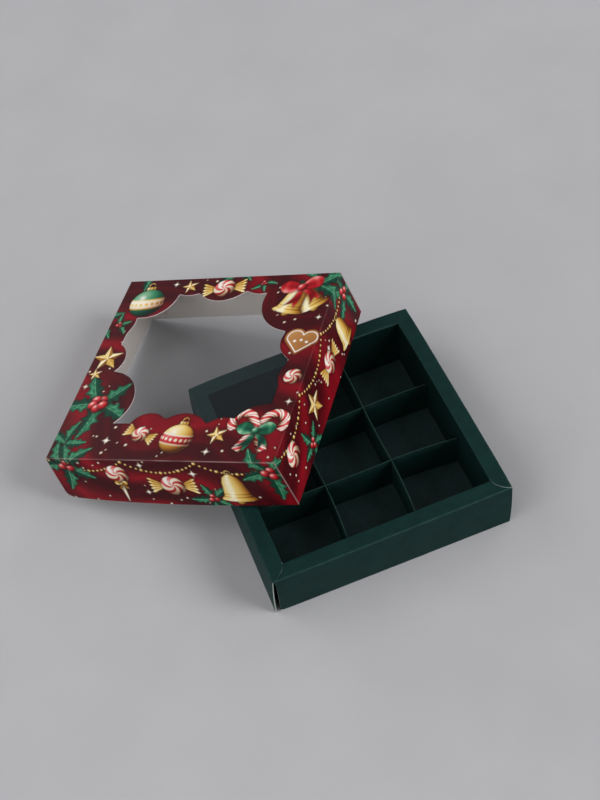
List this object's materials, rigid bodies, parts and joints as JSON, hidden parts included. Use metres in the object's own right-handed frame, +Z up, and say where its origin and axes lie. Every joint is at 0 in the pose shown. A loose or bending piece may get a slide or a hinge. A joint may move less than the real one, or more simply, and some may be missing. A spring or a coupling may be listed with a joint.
{
  "type": "candy box",
  "caption": "Shallow square candy box of folded board: a hollow-walled tray with slotted cell dividers, and a printed lid with a lobed clear window leaning on the tray.",
  "frame": {"origin": "middle of the tray's underside", "axes": "+Z up, +X to the right along the tray's front, +Y to the tray's back; the lid leans over the back left corner"},
  "size_m": [0.2391, 0.246, 0.0797],
  "materials": {
    "green_board": "matt dark green coated board",
    "divider_board": "matt dark green board with slightly paler cut edges",
    "printed_board": "burgundy printed board with a silk varnish, bare white inside",
    "bare_board": "bare white board",
    "clear_film": "clear glossy film"
  },
  "bodies": {
    "tray": {"tray_floor": "green_board", "tray_wall_front": "green_board", "tray_wall_right": "green_board", "tray_wall_back": "green_board", "tray_wall_left": "green_board", "tray_rim_front": "green_board", "tray_rim_right": "green_board", "tray_rim_back": "green_board", "tray_rim_left": "green_board", "tray_inner_wall_front": "green_board", "tray_inner_wall_right": "green_board", "tray_inner_wall_back": "green_board", "tray_inner_wall_left": "green_board"},
    "lower_dividers": {"lower_divider_1": "divider_board", "lower_divider_2": "divider_board"},
    "upper_dividers": {"upper_divider_1": "divider_board", "upper_divider_2": "divider_board"},
    "lid": {"lid_top": "printed_board", "lid_wall_front": "printed_board", "lid_wall_right": "printed_board", "lid_wall_back": "printed_board", "lid_wall_left": "printed_board", "lid_glue_tab_front_left": "bare_board", "lid_glue_tab_front_right": "bare_board", "lid_glue_tab_back_left": "bare_board", "lid_glue_tab_back_right": "bare_board", "window_film": "clear_film"}
  },
  "joints": [
    {"name": "lid_lift", "type": "slide", "parent": "tray", "child": "lid", "axis": [0, 0, 1], "range_m": [0, 0.16]},
    {"name": "lower_divider_lift", "type": "slide", "parent": "tray", "child": "lower_dividers", "axis": [0, 0, 1], "range_m": [0, 0.04]},
    {"name": "upper_divider_lift", "type": "slide", "parent": "lower_dividers", "child": "upper_dividers", "axis": [0, 0, 1], "range_m": [0, 0.032]}
  ],
  "couplings": [
    {"joint": "lower_divider_lift", "follows": "lid_lift", "ratio": 0.25},
    {"joint": "upper_divider_lift", "follows": "lid_lift", "ratio": 0.2}
  ]
}
